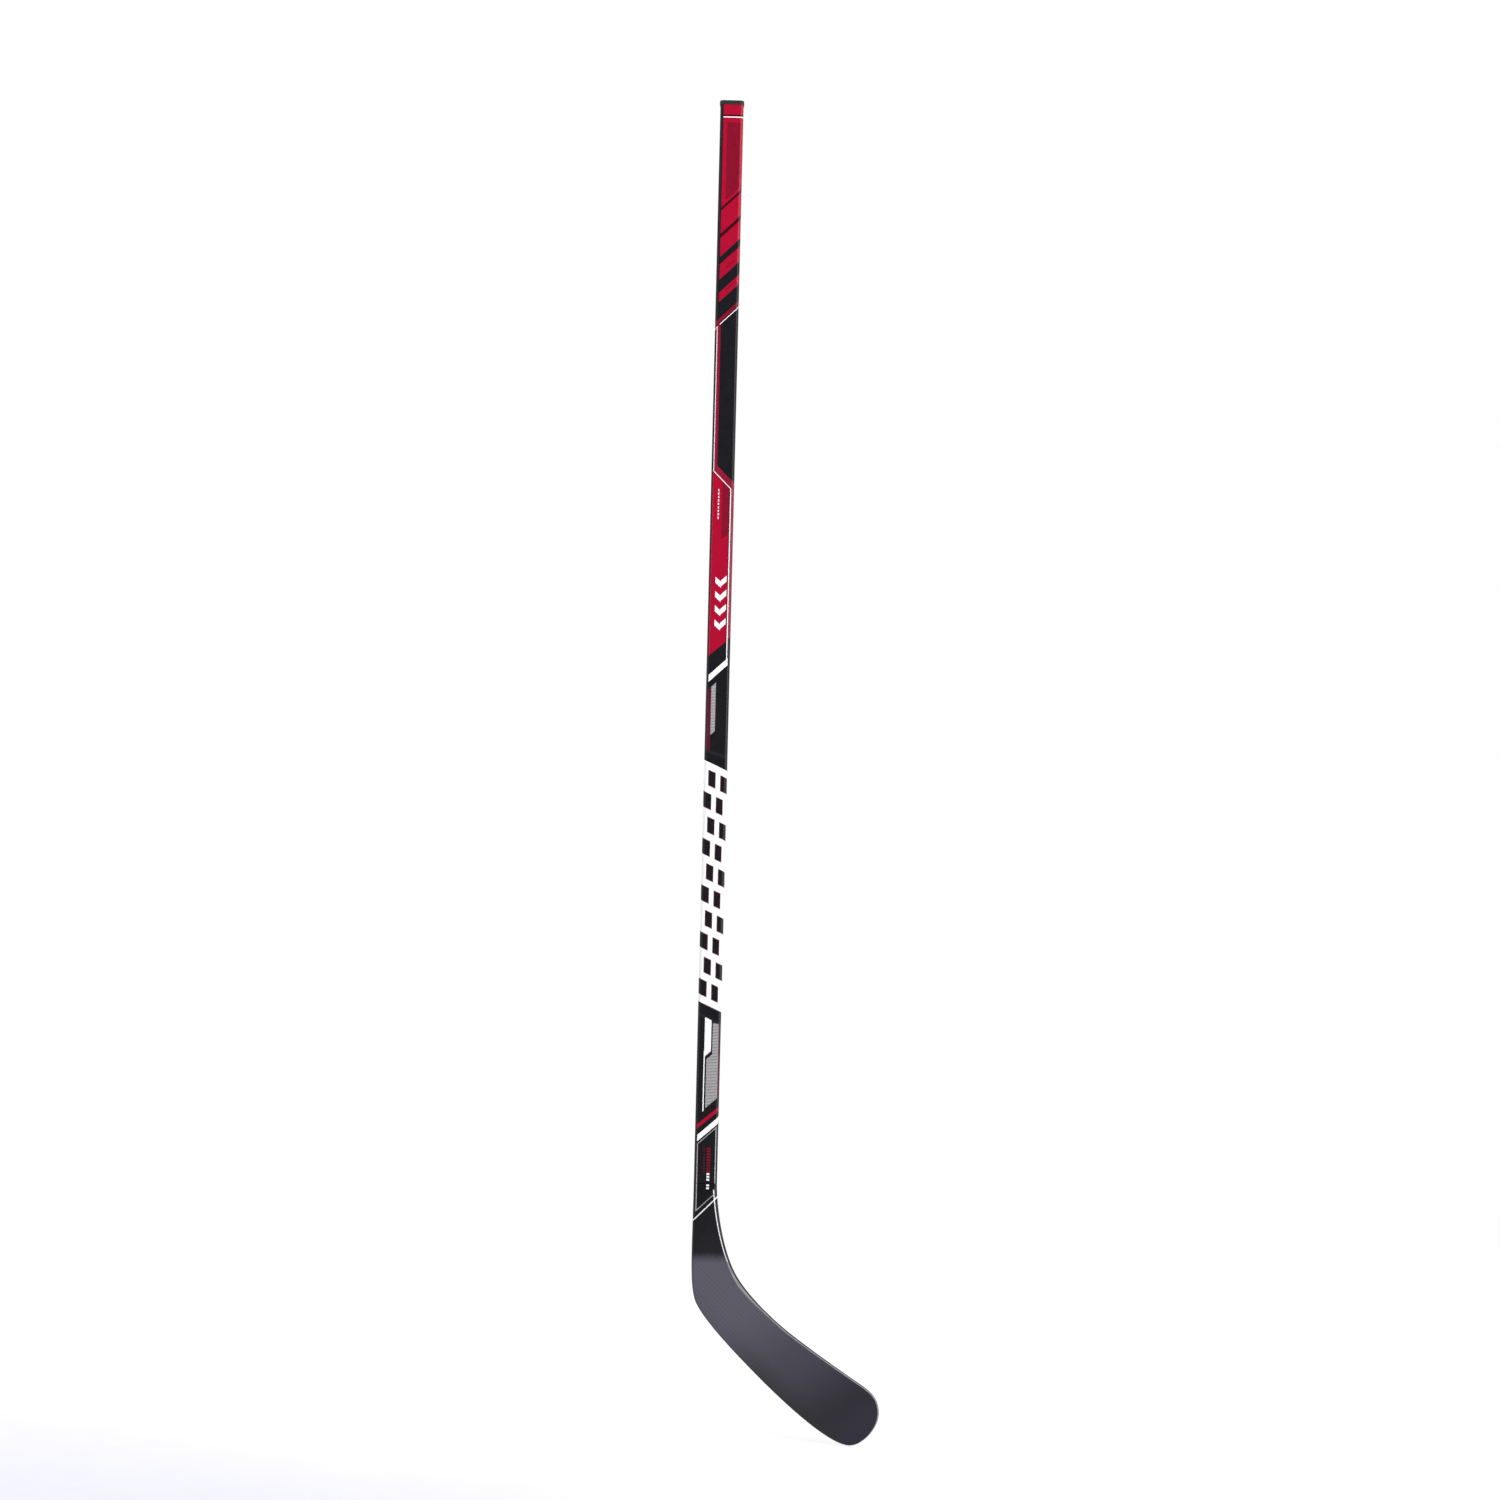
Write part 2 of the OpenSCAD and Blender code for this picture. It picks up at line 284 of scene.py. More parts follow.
def blade_coat_painted_sheen(name):
    """Black gloss on the hosel that passes into a satin grey coat with a painted reflection, lightest at
    the heel and darker towards the toe; also darker towards the sole.
    """
    n = new_material(name)
    x, _, z = n.axes()
    gloss = (0.006, 0.006, 0.008)
    # heel, middle, toe and tip are painted reflection tones on the satin coat, brightest at the heel
    heel = (0.108, 0.103, 0.132)
    middle = (0.056, 0.053, 0.075)
    toe = (0.023, 0.022, 0.028)
    tip = (0.028, 0.026, 0.041)
    sole = (0.026, 0.026, 0.025)
    patch = n.noise(30, 3)
    drift = n.math("MULTIPLY", n.math("SUBTRACT", patch, 0.5), 0.012)
    satin = n.span(n.math("ADD", z, drift), 1, 0, 0.049, 0.067)
    fade = math.radians(SHEEN_FADE_A)
    down = n.math("ADD", n.math("MULTIPLY", x, math.cos(fade)), n.math("MULTIPLY", z, math.sin(fade)))
    along = n.math("ADD", down, drift)
    rise = math.radians(90 - LIE)
    above = n.math("SUBTRACT", n.math("MULTIPLY", z, math.cos(rise)), n.math("MULTIPLY", x, math.sin(rise)))
    # Painted reflection: fades from the heel tone through the middle and toe tones to the tip.
    body = n.blend(n.span(along, 0, 1, 0.02, 0.15), heel, middle)
    body = n.blend(n.span(along, 0, 1, 0.13, 0.215), body, toe)
    body = n.blend(n.span(along, 0, 1, 0.20, 0.24), body, tip)
    near_sole = n.span(n.math("ADD", above, drift), 1, 0, -0.014, 0.014)
    body = n.blend(n.math("MULTIPLY", near_sole, n.span(along, 0.15, 0.6, 0.04, 0.15)), body, sole)
    speck = n.noise(0.3, 2, 0.6)
    twill = n.weave(1.6)
    body = n.blend(n.math("MULTIPLY", twill, 0.12), body, darker(middle, 0.5))
    body = n.blend(n.span(speck, 0, 0.25, 0.5, 0.75), body, darker(toe, 0.6))
    tone = n.blend(satin, gloss, body)
    scuff = n.noise(0.7, 2, 0.5, n.stretch(0.12, 1, 1))
    rough = n.math("ADD", n.span(satin, 0.2, 0.48, 0, 1), n.span(scuff, 0, 0.1, 0.6, 0.74))
    rough = n.math("ADD", rough, n.math("MULTIPLY", twill, 0.05))
    mat = n.finish(tone, rough, n.bump(speck, 0.008, 0.2), coat_rough=0.12)
    n.feed(n.bsdf.inputs["Coat Weight"], n.span(satin, 0.4, 0.0, 0, 1))
    return mat


INKS = {
    "black": ink("ink_black", (0.0085, 0.008, 0.0115), rough=0.28),
    "red": ink("ink_red", (0.395, 0.0012, 0.026), 0.04),
    "crimson": ink("ink_crimson", (0.22, 0.0025, 0.019), 0.05),
    "maroon": ink("ink_maroon", (0.040, 0.0015, 0.005)),
    "plum": ink("ink_plum", (0.25, 0.007, 0.034), 0.08),
    "wine": ink("ink_wine", (0.095, 0.008, 0.022), 0.12),
    "white": ink("ink_white", (0.95, 0.95, 0.96), 0.01),
    "silver": ink("ink_silver", (0.42, 0.41, 0.44), 0.1),
    "graphite": ink("ink_graphite", (0.016, 0.016, 0.021)),
    # Light grey painted highlight for the rounded edges of the blade.
    "painted_highlight": ink("ink_painted_highlight", (0.31, 0.31, 0.325)),
    "dots": halftone("ink_dots", (0.05, 0.05, 0.055), (0.62, 0.61, 0.63)),
}
INK_ORDER = list(INKS)

# ---------------------------------------------------------------- printed shapes

# Across the face, shapes are measured round the section from the middle of the wide face.
EDGE = 23.0              # past the seam on the narrow side
SLOPE = 0.95             # rise of most diagonals across the face
LATTICE_TOP = 681.5
LATTICE_ROWS = 10
ROW = 29.6               # height of a lattice row with its rung
RUNG = 9.5               # height of a rung
OUTLINE = 1.1            # wine line round each window
TILT = -0.45             # slope of the rungs
HATCH_LOW = 144.8        # lower end of the hatched blocks
PITCH = 3.6              # from one hatch bar to the next
WHITE_BARS = 6           # of them, then the rest are red
HATCH_BARS = 15


def strip(slot, left, right, low, high, low_slope=0.0, high_slope=None):
    """Upright strip from left to right whose ends may slant. Heights hold at the face's middle line."""
    high_slope = low_slope if high_slope is None else high_slope
    return slot, [
        (left, low + low_slope * left), (right, low + low_slope * right),
        (right, high + high_slope * right), (left, high + high_slope * left)]


def slash(slot, left, right, middle, height, slope=SLOPE):
    return strip(slot, left, right, middle - height / 2, middle + height / 2, slope)


def red_block():
    """Top third: red with diagonal stripes that thicken towards the blade."""
    shapes = [
        strip("red", -10.4, EDGE, 1289.5, 1519, SLOPE, 0),
        strip("red", -10.4, EDGE, 1277.8, 1289.6, SLOPE),
        strip("crimson", -5.5, 11.4, 1402, 1496, SLOPE, 0),
        strip("maroon", -10.4, EDGE, 1503.3, 1505.5),
        strip("white", -10.4, EDGE, 1501.9, 1503.2),
        slash("maroon", -10.4, EDGE, 1395.6, 3.8),
        slash("maroon", -10.4, EDGE, 1361.8, 5.6),
        slash("black", -10.4, EDGE, 1330.4, 9.6),
        slash("black", -10.4, EDGE, 1298, 16.6),
        slash("crimson", -EDGE, EDGE, 1253.2, 5.8),
        slash("white", -EDGE, EDGE, 1248, 1.3)]
    for low, high in ((1306.6, 1325.4), (1278, 1289.4)):
        shapes.append(strip("crimson", -3, 9, low + 6, low + 8.5, SLOPE))
    return shapes


def pinstripes():
    """White line with a red strip beside it, down the left edge and then down the right one."""
    return [
        strip("plum", -11.3, -8.6, 1049, 1249, -1, SLOPE),
        strip("crimson", -8.6, -7.2, 1052, 1247, -1, SLOPE),
        strip("white", -12.2, -11.3, 1042, 1247, -1, SLOPE),
        strip("plum", -11.3, EDGE, 1043.4, 1053.6, -1),
        strip("red", -12.6, 9.6, 830.6, 1041.4, 0.84, -1),
        strip("crimson", 0, 9.6, 968, 1041.4, 0.7, -1),
        strip("maroon", -13.6, -12.6, 830.6, 1041.4, 0.84, -1),
        strip("plum", 11.3, EDGE, 832, 1047, 0.84, -1),
        slash("white", -12.2, 11.1, 1042.4, 1.4, -1),
        strip("maroon", 8.9, 9.8, 830.6, 1040, 0.84, -1),
        strip("white", 9.9, 11.1, 803, 1043, 0.93, -1)]


def ticks():
    """Fine dashes and four chevrons on the red field."""
    shapes = [strip("white", -5.2, -3.9, 993.5 + 4.4 * i, 996.3 + 4.4 * i) for i in range(9)]
    for middle in (911, 893, 875, 857):
        shapes.append(slash("white", -6, 1, middle, 7.5, -0.9))
        shapes.append(slash("white", 1, 8, middle, 7.5, 0.9))
    return shapes


def mid_marks():
    return [
        slash("white", -11.8, 11.8, 802.2, 8.8, 0.93),
        strip("wine", -12.6, -7.9, 699.5, 788, 0, 0.9),
        strip("dots", -7.8, -2.2, 727, 788, 0.95, 0.9),
        slash("graphite", -EDGE, EDGE, 696, 3.5, -0.3)]


def lattice():
    """Bold white brick lattice: slanted rungs with black windows that shift from row to row."""
    base = LATTICE_TOP - LATTICE_ROWS * ROW - RUNG
    shapes = [strip("white", -EDGE, EDGE, base, LATTICE_TOP, TILT)]
    layouts = (((-9, 0.4), (6.2, EDGE)), ((-EDGE, -4.4), (1.4, 10.2)))
    for row in range(LATTICE_ROWS):
        low = LATTICE_TOP - (row + 1) * ROW
        high = low + ROW - RUNG
        for left, right in layouts[row % 2]:
            shapes.append(strip("wine", left, right, low, high, TILT))
            black = (left + OUTLINE, right - OUTLINE, low + OUTLINE, high - OUTLINE)
            shapes.append(strip("black", *black, TILT))
    shapes.append(slash("graphite", -EDGE, EDGE, base - 16, 4, TILT))
    return shapes


def low_marks():
    return [
        strip("white", -6, -4.6, 246, 320, 0.5, 0),
        strip("white", -5.4, 2.9, 317, 360, 0.87, TILT),
        strip("dots", 4.6, 12.2, 300, 356.5, 0.87, TILT / 2),
        strip("dots", -2.6, 12.2, 249.6, 311.6, 0.87),
        strip("wine", 12.8, EDGE, 247, 352, 0.87, 0),
        slash("red", -12.6, EDGE, 234.4, 5.6, 0.85),
        slash("white", -11.8, EDGE, 219.5, 8.2, 0.88),
        slash("silver", -11.6, 12.6, 212, 1.2, 0.92),
        strip("silver", -11.6, -10.5, 100, 212, 0, 0.92),
        strip("silver", 11.4, 12.6, 100, 211, 0, 0.92)] + hatch(JOINT_Z, BUTT_Z)


def hatch(above, below):
    """The part of two small hatched blocks, one red and one white, that lies between two heights."""
    shapes = []
    for i in range(HATCH_BARS):
        low = HATCH_LOW + PITCH * i
        if i < WHITE_BARS:
            bars = [strip("white", 1.2, 4.8, low, low + 2.4)]
        else:
            bars = [strip("crimson", 1, 5.6, low, low + 2.2), strip("wine", -3.4, -1.2, low, low + 1.5)]
        shapes += [bar for bar in bars if low > above and max(v for _, v in bar[1]) < below]
    return shapes


PRINT = red_block() + pinstripes() + ticks() + mid_marks() + lattice() + low_marks()


def inside(polygon, u, v):
    """True when (u, v) is in a convex polygon given counterclockwise."""
    for (u0, v0), (u1, v1) in zip(polygon, polygon[1:] + polygon[:1]):
        if (u1 - u0) * (v - v0) - (v1 - v0) * (u - u0) < 0:
            return False
    return True


def paint(bm, shapes, iu, iv, usable):
    """Cuts the usable faces along each shape's edges, then gives the faces inside its material index."""
    for slot, polygon in shapes:
        index = INK_ORDER.index(slot)
        u_low, u_high = min(p[0] for p in polygon), max(p[0] for p in polygon)
        v_low, v_high = min(p[1] for p in polygon), max(p[1] for p in polygon)
        faces = []
        for face in bm.faces:
            vs = [v.co[iv] for v in face.verts]
            if max(vs) > v_low and min(vs) < v_high and usable(face):
                us = [v.co[iu] for v in face.verts]
                if max(us) > u_low and min(us) < u_high:
                    faces.append(face)
        for (u0, v0), (u1, v1) in zip(polygon, polygon[1:] + polygon[:1]):
            corners = list({v for f in faces for v in f.verts})
            geom = corners + list({e for f in faces for e in f.edges}) + faces
            at, normal = Vector((0, 0, 0)), Vector((0, 0, 0))
            at[iu], at[iv] = u0, v0
            normal[iu], normal[iv] = v1 - v0, u0 - u1
            cut = bmesh.ops.bisect_plane(bm, geom=geom, dist=1e-4, plane_co=at, plane_no=normal)
            faces = [g for g in cut["geom"] if isinstance(g, bmesh.types.BMFace)]
        for face in faces:
            middle = face.calc_center_median()
            if inside(polygon, middle[iu], middle[iv]):
                face.material_index = index


# ---------------------------------------------------------------- building helpers

def add_object(name, mesh, materials, node=None):
    for material in materials:
        mesh.materials.append(material)
    obj = bpy.data.objects.new(name, mesh)
    bpy.context.scene.collection.objects.link(obj)
    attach(obj, "root")
    if node:
        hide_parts(node)
    return obj


def to_metres(bm):
    bmesh.ops.scale(bm, vec=(MM, MM, MM), verts=bm.verts)


def section(w, t, r, steps=10):
    """Counterclockwise points of a rounded rectangle."""
    points = []
    for quarter in range(4):
        cx = (w / 2 - r) * (1 if quarter in (0, 3) else -1)
        cy = (t / 2 - r) * (1 if quarter in (0, 1) else -1)
        for i in range(steps + 1):
            a = math.radians(90 * (quarter + i / steps))
            points.append((cx + r * math.cos(a), cy + r * math.sin(a)))
    return points


def loft(loops, close_ends=True):
    """Closed mesh through loops of points, in millimetres."""
    bm = bmesh.new()
    rings = [[bm.verts.new(p) for p in loop] for loop in loops]
    for low, high in zip(rings, rings[1:]):
        for i in range(len(low)):
            j = (i + 1) % len(low)
            bm.faces.new((low[i], low[j], high[j], high[i]))
    if close_ends:
        bm.faces.new(list(reversed(rings[0])))
        bm.faces.new(rings[-1])
    bmesh.ops.recalc_face_normals(bm, faces=bm.faces)
    to_metres(bm)
    return bm


def to_mesh(name, bm, sharp_deg=35):
    mesh = bpy.data.meshes.new(name)
    bm.to_mesh(mesh)
    bm.free()
    mesh.shade_smooth()
    mesh.set_sharp_from_angle(angle=math.radians(sharp_deg))
    return mesh


# ---------------------------------------------------------------- printed film

FLAT = SHAFT_W / 2 - SHAFT_R
ARC = math.pi / 2 * SHAFT_R
HALF_WAY = FLAT + ARC + SHAFT_T / 2 - SHAFT_R


def around(a, depth, face):
    """Point and normal at arc length a from the middle of a wide face; face is -1 front, 1 back."""
    side = -1 if a < 0 else 1
    m = abs(a)
    if m <= FLAT:
        x, y, nx, ny = m, SHAFT_T / 2, 0.0, 1.0
    elif m <= FLAT + ARC:
        turn = (m - FLAT) / SHAFT_R
        nx, ny = math.sin(turn), math.cos(turn)
        x, y = FLAT + SHAFT_R * nx, SHAFT_T / 2 - SHAFT_R + SHAFT_R * ny
    else:
        x, y, nx, ny = SHAFT_W / 2, SHAFT_T / 2 - SHAFT_R - (m - FLAT - ARC), 1.0, 0.0
    return Vector((side * (x - depth * nx), face * (y - depth * ny))), Vector((side * nx, face * ny, 0))


def film_columns():
    limit = HALF_WAY - FILM_SPLIT
    right = [FLAT * i / 3 for i in range(4)]
    right += [FLAT + ARC * i / 10 for i in range(1, 11)]
    right += [mix(FLAT + ARC, limit, 0.5), limit]
    return [-a for a in reversed(right[1:])] + right


def flat_print(z_low, z_high, rows):
    """The print laid out flat, arc length across and height up, cut and inked."""
    bm = bmesh.new()
    columns = film_columns()
    grid = [[bm.verts.new((a, mix(z_low, z_high, i / rows), 0)) for a in columns] for i in range(rows + 1)]
    for low, high in zip(grid, grid[1:]):
        for k in range(len(columns) - 1):
            bm.faces.new((low[k], low[k + 1], high[k + 1], high[k]))
    paint(bm, PRINT, 0, 1, lambda f: True)
    return bm


def wrapped_print(name, node, face, flat, depth):
    """Printed shell over one wide face of the shaft and half of each narrow side."""
    bm = flat.copy()
    outer = list(bm.faces)
    inner = bmesh.ops.duplicate(bm, geom=list(bm.verts) + list(bm.edges) + outer)
    twin = {v: inner["vert_map"][v] for f in outer for v in f.verts}
    rim = [e for f in outer for e in f.edges if len(e.link_faces) == 1]
    inner_faces = [g for g in inner["geom"] if isinstance(g, bmesh.types.BMFace)]
    normals = {}
    for v, w in twin.items():
        a, z = v.co[0], v.co[1]
        p, n = around(a, 0, face)
        q, _ = around(a, depth, face)
        v.co = (p.x, p.y, z)
        w.co = (q.x, q.y, z)
        normals[v] = n
    walls = []
    for e in rim:
        v0, v1 = e.verts
        walls.append(bm.faces.new((v0, v1, twin[v1], twin[v0])))
    for f in inner_faces + walls:
        f.material_index = INK_ORDER.index("black")
    bmesh.ops.recalc_face_normals(bm, faces=bm.faces)
    bm.verts.index_update()
    outer_set = {tuple(sorted(v.index for v in f.verts)) for f in outer}
    vertex_normal = {v.index: n for v, n in normals.items()}
    to_metres(bm)
    mesh = bpy.data.meshes.new(name)
    bm.to_mesh(mesh)
    bm.free()
    mesh.shade_smooth()
    custom = []
    for polygon in mesh.polygons:
        is_outer = tuple(sorted(polygon.vertices)) in outer_set
        for v in polygon.vertices:
            custom.append(vertex_normal[v] if is_outer else polygon.normal)
    mesh.normals_split_custom_set([n[:] for n in custom])
    return add_object(name, mesh, [INKS[k] for k in INK_ORDER], node)


# ---------------------------------------------------------------- blade

UNIT = BLADE_LEN / 260
SOLE_A = 90 - LIE
BASE_V = -16.4


def on_blade(u, v):
    """A point given along the sole and above it, as (x, z)."""
    a, b = u * UNIT, v + BASE_V
    c, s = math.cos(math.radians(SOLE_A)), math.sin(math.radians(SOLE_A))
    return Vector((a * c - b * s, a * s + b * c))


SOLE = [
    (Vector((-SHAFT_W / 2, JOINT_Z)), -90, 0, 0.56 * JOINT_Z),
    (on_blade(-9, 11.9), SOLE_A - 27, 24, 24),
    (on_blade(118.4, 0), SOLE_A, 36, 44),
    (on_blade(257.1, 21.5), SOLE_A + 42.6, 26.8, 16.8),
    (on_blade(256.8, 75.6), SOLE_A + 131.2, 17.7, 0)]
TOP = [
    (Vector((SHAFT_W / 2, JOINT_Z)), -90, 0, 0.19 * JOINT_Z),
    (on_blade(9.1, 69.9), SOLE_A - 13.7, 37, 30.2),
    (on_blade(106.2, 67), SOLE_A + 6.9, 25.7, 30.6),
    (on_blade(212, 85.2), SOLE_A + 11.7, 32.5, 18),
    (on_blade(256.8, 75.6), SOLE_A - 48.8, 20.1, 0)]
RAIL_END = 4.0           # rail position of the tip
CORE_END = 3.36          # of the cores' end
CLOSED_FROM = 3.5        # from here to the tip the laminate is solid
CLOSED_EARLY = 0.3       # share of the stretch before it in which the hollow is already closed
TAPER_FROM = 0.05        # rail positions over which the hosel thins out
TAPER_TO = 1.25


def rail(knots, s):
    """Point and unit tangent of the cubic rail at position s."""
    i = min(int(s), len(knots) - 2)
    f = s - i
    g = 1 - f
    (p0, a0, _, out), (p3, a1, back, _) = knots[i], knots[i + 1]
    p1 = p0 + out * UNIT * Vector((math.cos(math.radians(a0)), math.sin(math.radians(a0))))
    p2 = p3 - back * UNIT * Vector((math.cos(math.radians(a1)), math.sin(math.radians(a1))))
    point = g ** 3 * p0 + 3 * g * g * f * p1 + 3 * g * f * f * p2 + f ** 3 * p3
    slope = 3 * g * g * (p1 - p0) + 6 * g * f * (p2 - p1) + 3 * f * f * (p3 - p2)
    return point, slope.normalized()


def thinned(s):
    return ease((s - TAPER_FROM) / (TAPER_TO - TAPER_FROM))


def thick(s):
    return mix(SHAFT_T, mix(HEEL_T, TOE_T, clamp01((s - 1) / 3)), thinned(s))


def corner(s):
    return mix(SHAFT_R, EDGE_R, thinned(s))


def laminate(s):
    return mix(WALL, SKIN, thinned(s))


def bend(x, z):
    c, s = math.cos(math.radians(SOLE_A)), math.sin(math.radians(SOLE_A))
    f = max(0.0, ((x * c + z * s) / BLADE_LEN - CURVE_START) / (1 - CURVE_START))
    return -CURVE_DEPTH * f * f


ARC_STEPS = 8            # faces across an edge radius
ACROSS = 14              # and between the two radii


def blade_row(s, side, inset, shrink):
    """One row of points from the sole edge to the top edge, on the outside or inside of a skin."""
    a, ta = rail(SOLE, s)
    b, tb = rail(TOP, s)
    na, nb = Vector((-ta.y, ta.x)), Vector((tb.y, -tb.x))
    h = thick(s) / 2 - inset
    r = max(corner(s) - inset, MIN_R) if inset else corner(s)
    turn = [math.radians(90 * i / ARC_STEPS) for i in range(ARC_STEPS + 1)]
    heights = [SEAM] + [max(SEAM, shrink * (h - r * (1 - math.sin(q)))) for q in turn]
    offsets = [inset] + [inset + r * (1 - math.cos(q)) for q in turn]
    near_a = [a + na * d for d in offsets]
    near_b = [b + nb * d for d in offsets]
    middle = [near_a[-1].lerp(near_b[-1], i / ACROSS) for i in range(1, ACROSS)]
    flat = near_a + middle + near_b[::-1]
    tall = heights + [heights[-1]] * len(middle) + heights[::-1]
    return [(p.x, bend(p.x, p.y) + side * y, p.y) for p, y in zip(flat, tall)]


def blade_steps():
    """Rail positions, closer together round the heel and the toe."""
    steps = []
    for low, high, count in ((0.002, 1, 44), (1, 2, 26), (2, 3, 30), (3, RAIL_END, 46)):
        steps += [mix(low, high, i / count) for i in range(count)]
    return steps + [RAIL_END]


def edge_line(slot, knots, start, end, pieces):
    """Line along a rail as a chain of four-cornered shapes.

    Start and end each give the rail position and the least and most distance from the rail."""
    sign = 1 if knots is SOLE else -1
    shapes = []
    for i in range(pieces):
        ring = []
        for k, side in ((i, 1), (i, 2), (i + 1, 2), (i + 1, 1)):
            d = mix(start[side], end[side], k / pieces)
            p, t = rail(knots, mix(start[0], end[0], k / pieces))
            ring.append((p.x - sign * t.y * d, p.y + sign * t.x * d))
        area = sum(p[0] * q[1] - q[0] * p[1] for p, q in zip(ring, ring[1:] + ring[:1]))
        shapes.append((slot, ring if area > 0 else ring[::-1]))
    return shapes


def blade_marks():
    """Lines on each face of the blade: painted highlight along the top edge, the sole and round the toe,
    painted shade at the top edge, pinstripe, silver outline and diagonals.
    """
    # Painted highlight where light falls on the rounded top edge and round the toe.
    shapes = edge_line("painted_highlight", TOP, (0.7, 2.2, 2.9), (1.1, 1.5, 5.0), 12)
    shapes += edge_line("painted_highlight", TOP, (1.1, 1.5, 5.0), (1.55, 1.1, 2.3), 10)
    shapes += edge_line("painted_highlight", TOP, (1.55, 1.1, 2.3), (3.2, 0.6, 1.4), 16)
    shapes += edge_line("painted_highlight", TOP, (3.2, 0.6, 1.4), (RAIL_END, 0.3, 1.7), 14)
    # Black line at the very top edge: painted shade on the rim, outside the painted highlight.
    shapes += edge_line("black", TOP, (0.6, 0, 1.6), (1.1, 0, 1.2), 6)
    shapes += edge_line("black", TOP, (1.1, 0, 1.2), (2.6, 0, 0.5), 12)
    # Painted highlight along the rounded sole edge and up round the toe.
    shapes += edge_line("painted_highlight", SOLE, (1.1, 0, 0.1), (3, 0.1, 0.6), 18)
    shapes += edge_line("painted_highlight", SOLE, (3, 0.1, 0.6), (RAIL_END, 0.3, 1.7), 14)
    shapes += edge_line("white", TOP, (0.08, 3.4, 4.7), (0.8, 2.2, 3.2), 22)
    shapes += [
        strip("silver", -11.6, -10.5, 127.2, 160, SLOPE, 0),
        slash("silver", -11.6, 12.6, 127.8, 1.2),
        slash("white", -16, 22, 119.4, 1.9, 1.0)]
    return shapes + hatch(0, JOINT_Z)


def blade_half(name, node, side, marks):
    bm = bmesh.new()
    steps = blade_steps()
    outer_rows = [blade_row(s, side, 0.0, 1.0) for s in steps]
    inner_rows = []
    for s in steps:
        shrink = clamp01((CLOSED_FROM - s) / (CLOSED_FROM - CORE_END) - CLOSED_EARLY)
        inner_rows.append(blade_row(s, side, laminate(s), shrink))
    outer = [[bm.verts.new(p) for p in row] for row in outer_rows]
    inner = [[bm.verts.new(p) for p in row] for row in inner_rows]
    last = len(steps) - 1
    cols = len(outer[0])
    outside = bm.faces.layers.int.new("outside")
    for i in range(last):
        for k in range(cols - 1):
            bm.faces.new((outer[i][k], outer[i][k + 1], outer[i + 1][k + 1], outer[i + 1][k]))[outside] = 1
            bm.faces.new((inner[i][k + 1], inner[i][k], inner[i + 1][k], inner[i + 1][k + 1]))
        for k in (0, cols - 1):
            bm.faces.new((outer[i][k], outer[i + 1][k], inner[i + 1][k], inner[i][k]))
    for k in range(cols - 1):
        bm.faces.new((outer[0][k], inner[0][k], inner[0][k + 1], outer[0][k + 1]))
    for f in bm.faces:
        f.material_index = len(INK_ORDER)
    paint(bm, marks, 0, 2, lambda f: f[outside] == 1)
    bmesh.ops.remove_doubles(bm, verts=bm.verts, dist=2e-3)
    bmesh.ops.recalc_face_normals(bm, faces=bm.faces)
    to_metres(bm)
    mesh = to_mesh(name, bm, 50)
    obj = add_object(name, mesh, [INKS[k] for k in INK_ORDER] + [BLADE_COAT_PAINTED_SHEEN], node)
    smooth = obj.modifiers.new("even_normals", "WEIGHTED_NORMAL")
    smooth.keep_sharp = True
    return obj


# ---------------------------------------------------------------- butt end

LIP_R = 0.4              # radius of the cap's lower edge
CAP_GROOVE = ((0, 1.5), (0.25, 1.75), (0.25, 2.15), (0, 2.4))  # inset, height above the shaft
CAP_STEPS = (            # two shallow grooves in the top: inset, height
    (3.0, 0), (3.25, -0.45), (3.9, -0.45), (4.15, 0),
    (6.2, 0), (6.45, -0.35), (7.0, -0.35), (7.25, 0))


def butt_cap():
    """End plug: rounded cap with a finger groove and a stepped top, and a hollow ringed insert below."""
    cap = (SHAFT_W - 2 * FILM + 2 * CAP_RIM, SHAFT_T - 2 * FILM + 2 * CAP_RIM, SHAFT_R + CAP_RIM)
    bore = (SHAFT_W - 2 * FILM - 2 * WALL, SHAFT_T - 2 * FILM - 2 * WALL, SHAFT_R - FILM - WALL)
    hollow = (bore[0], bore[1], bore[2] + 1)

    def ring(inset, z, size=cap):
        w, t, r = size
        return [(x, y, z) for x, y in section(w - 2 * inset, t - 2 * inset, max(r - inset, MIN_R))]

    insert_end = SHAFT_TOP - INSERT_LEN
    loops = [ring(INSERT_GAP + INSERT_WALL, z, hollow) for z in (SHAFT_TOP - 1, insert_end)]
    loops.append(ring(INSERT_GAP + 0.5, insert_end, bore))
    for i in range(GRIP_RINGS, 0, -1):
        z = SHAFT_TOP - i * INSERT_LEN / (GRIP_RINGS + 1)
        for inset, up in ((INSERT_GAP, -0.2), (0.1, 0.3), (0.1, RING_H - 0.5), (INSERT_GAP, RING_H)):
            loops.append(ring(inset, z + up, bore))
    loops.append(ring(INSERT_GAP, SHAFT_TOP + SEAM, bore))
    for i in range(4):
        a = math.radians(30 * i)
        loops.append(ring(LIP_R * (1 - math.sin(a)), SHAFT_TOP + SEAM + LIP_R * (1 - math.cos(a))))
    loops += [ring(inset, SHAFT_TOP + up) for inset, up in CAP_GROOVE]
    for i in range(9):
        a = math.radians(90 * i / 8)
        loops.append(ring(CAP_ROUND * (1 - math.cos(a)), BUTT_Z - CAP_ROUND * (1 - math.sin(a))))
    loops += [ring(inset, BUTT_Z + up) for inset, up in CAP_STEPS]
    mesh = to_mesh("butt_cap", loft(loops), 40)
    plastic = moulded("cap_plastic", (0.032, 0.032, 0.036))
    return add_object("butt_cap", mesh, [plastic], "butt_plug")


